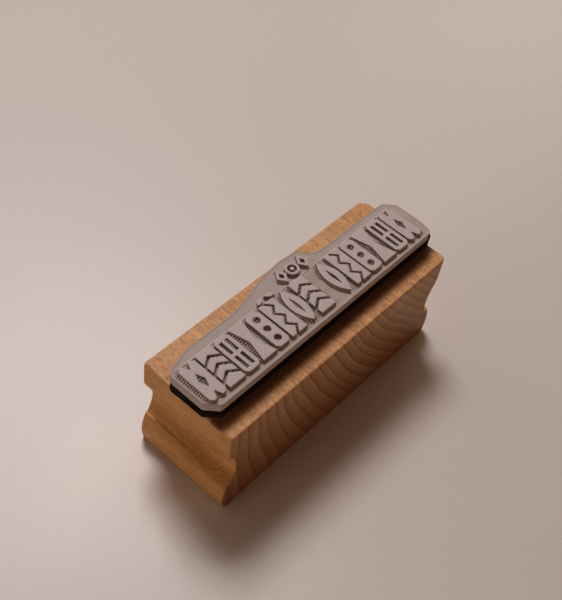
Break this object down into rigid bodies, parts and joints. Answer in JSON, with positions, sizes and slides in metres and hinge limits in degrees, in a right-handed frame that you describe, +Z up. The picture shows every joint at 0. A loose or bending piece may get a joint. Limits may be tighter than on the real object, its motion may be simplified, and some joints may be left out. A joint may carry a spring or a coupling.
{
  "type": "rubber stamp",
  "caption": "Mounted rubber stamp: a moulded beech block with finger coves at its ends carries a foam cushion and a long engraved rubber die with a geometric frieze.",
  "frame": {"origin": "centre of the wood mount's index face, the face that the stamp stands on with its printing face up", "axes": "+X along the block's length, +Y across its width to the side where the die bulges, +Z up from the index face through the printing face"},
  "size_m": [0.0811, 0.0282, 0.0373],
  "materials": {
    "beech": "satin",
    "adhesive_film": "satin",
    "black_foam": "matte",
    "grey_rubber": "matte"
  },
  "bodies": {
    "mount": {"wood_mount": "beech", "mount_adhesive": "adhesive_film", "foam_cushion": "black_foam"},
    "die": {"die_adhesive": "adhesive_film", "rubber_die": "grey_rubber"}
  },
  "joints": [
    {"name": "cushion_press", "type": "slide", "parent": "mount", "child": "die", "axis": [0, 0, -1], "range_m": [0, 0.0008], "stiffness_N_per_m": 20000, "deforming": ["foam_cushion"]}
  ]
}
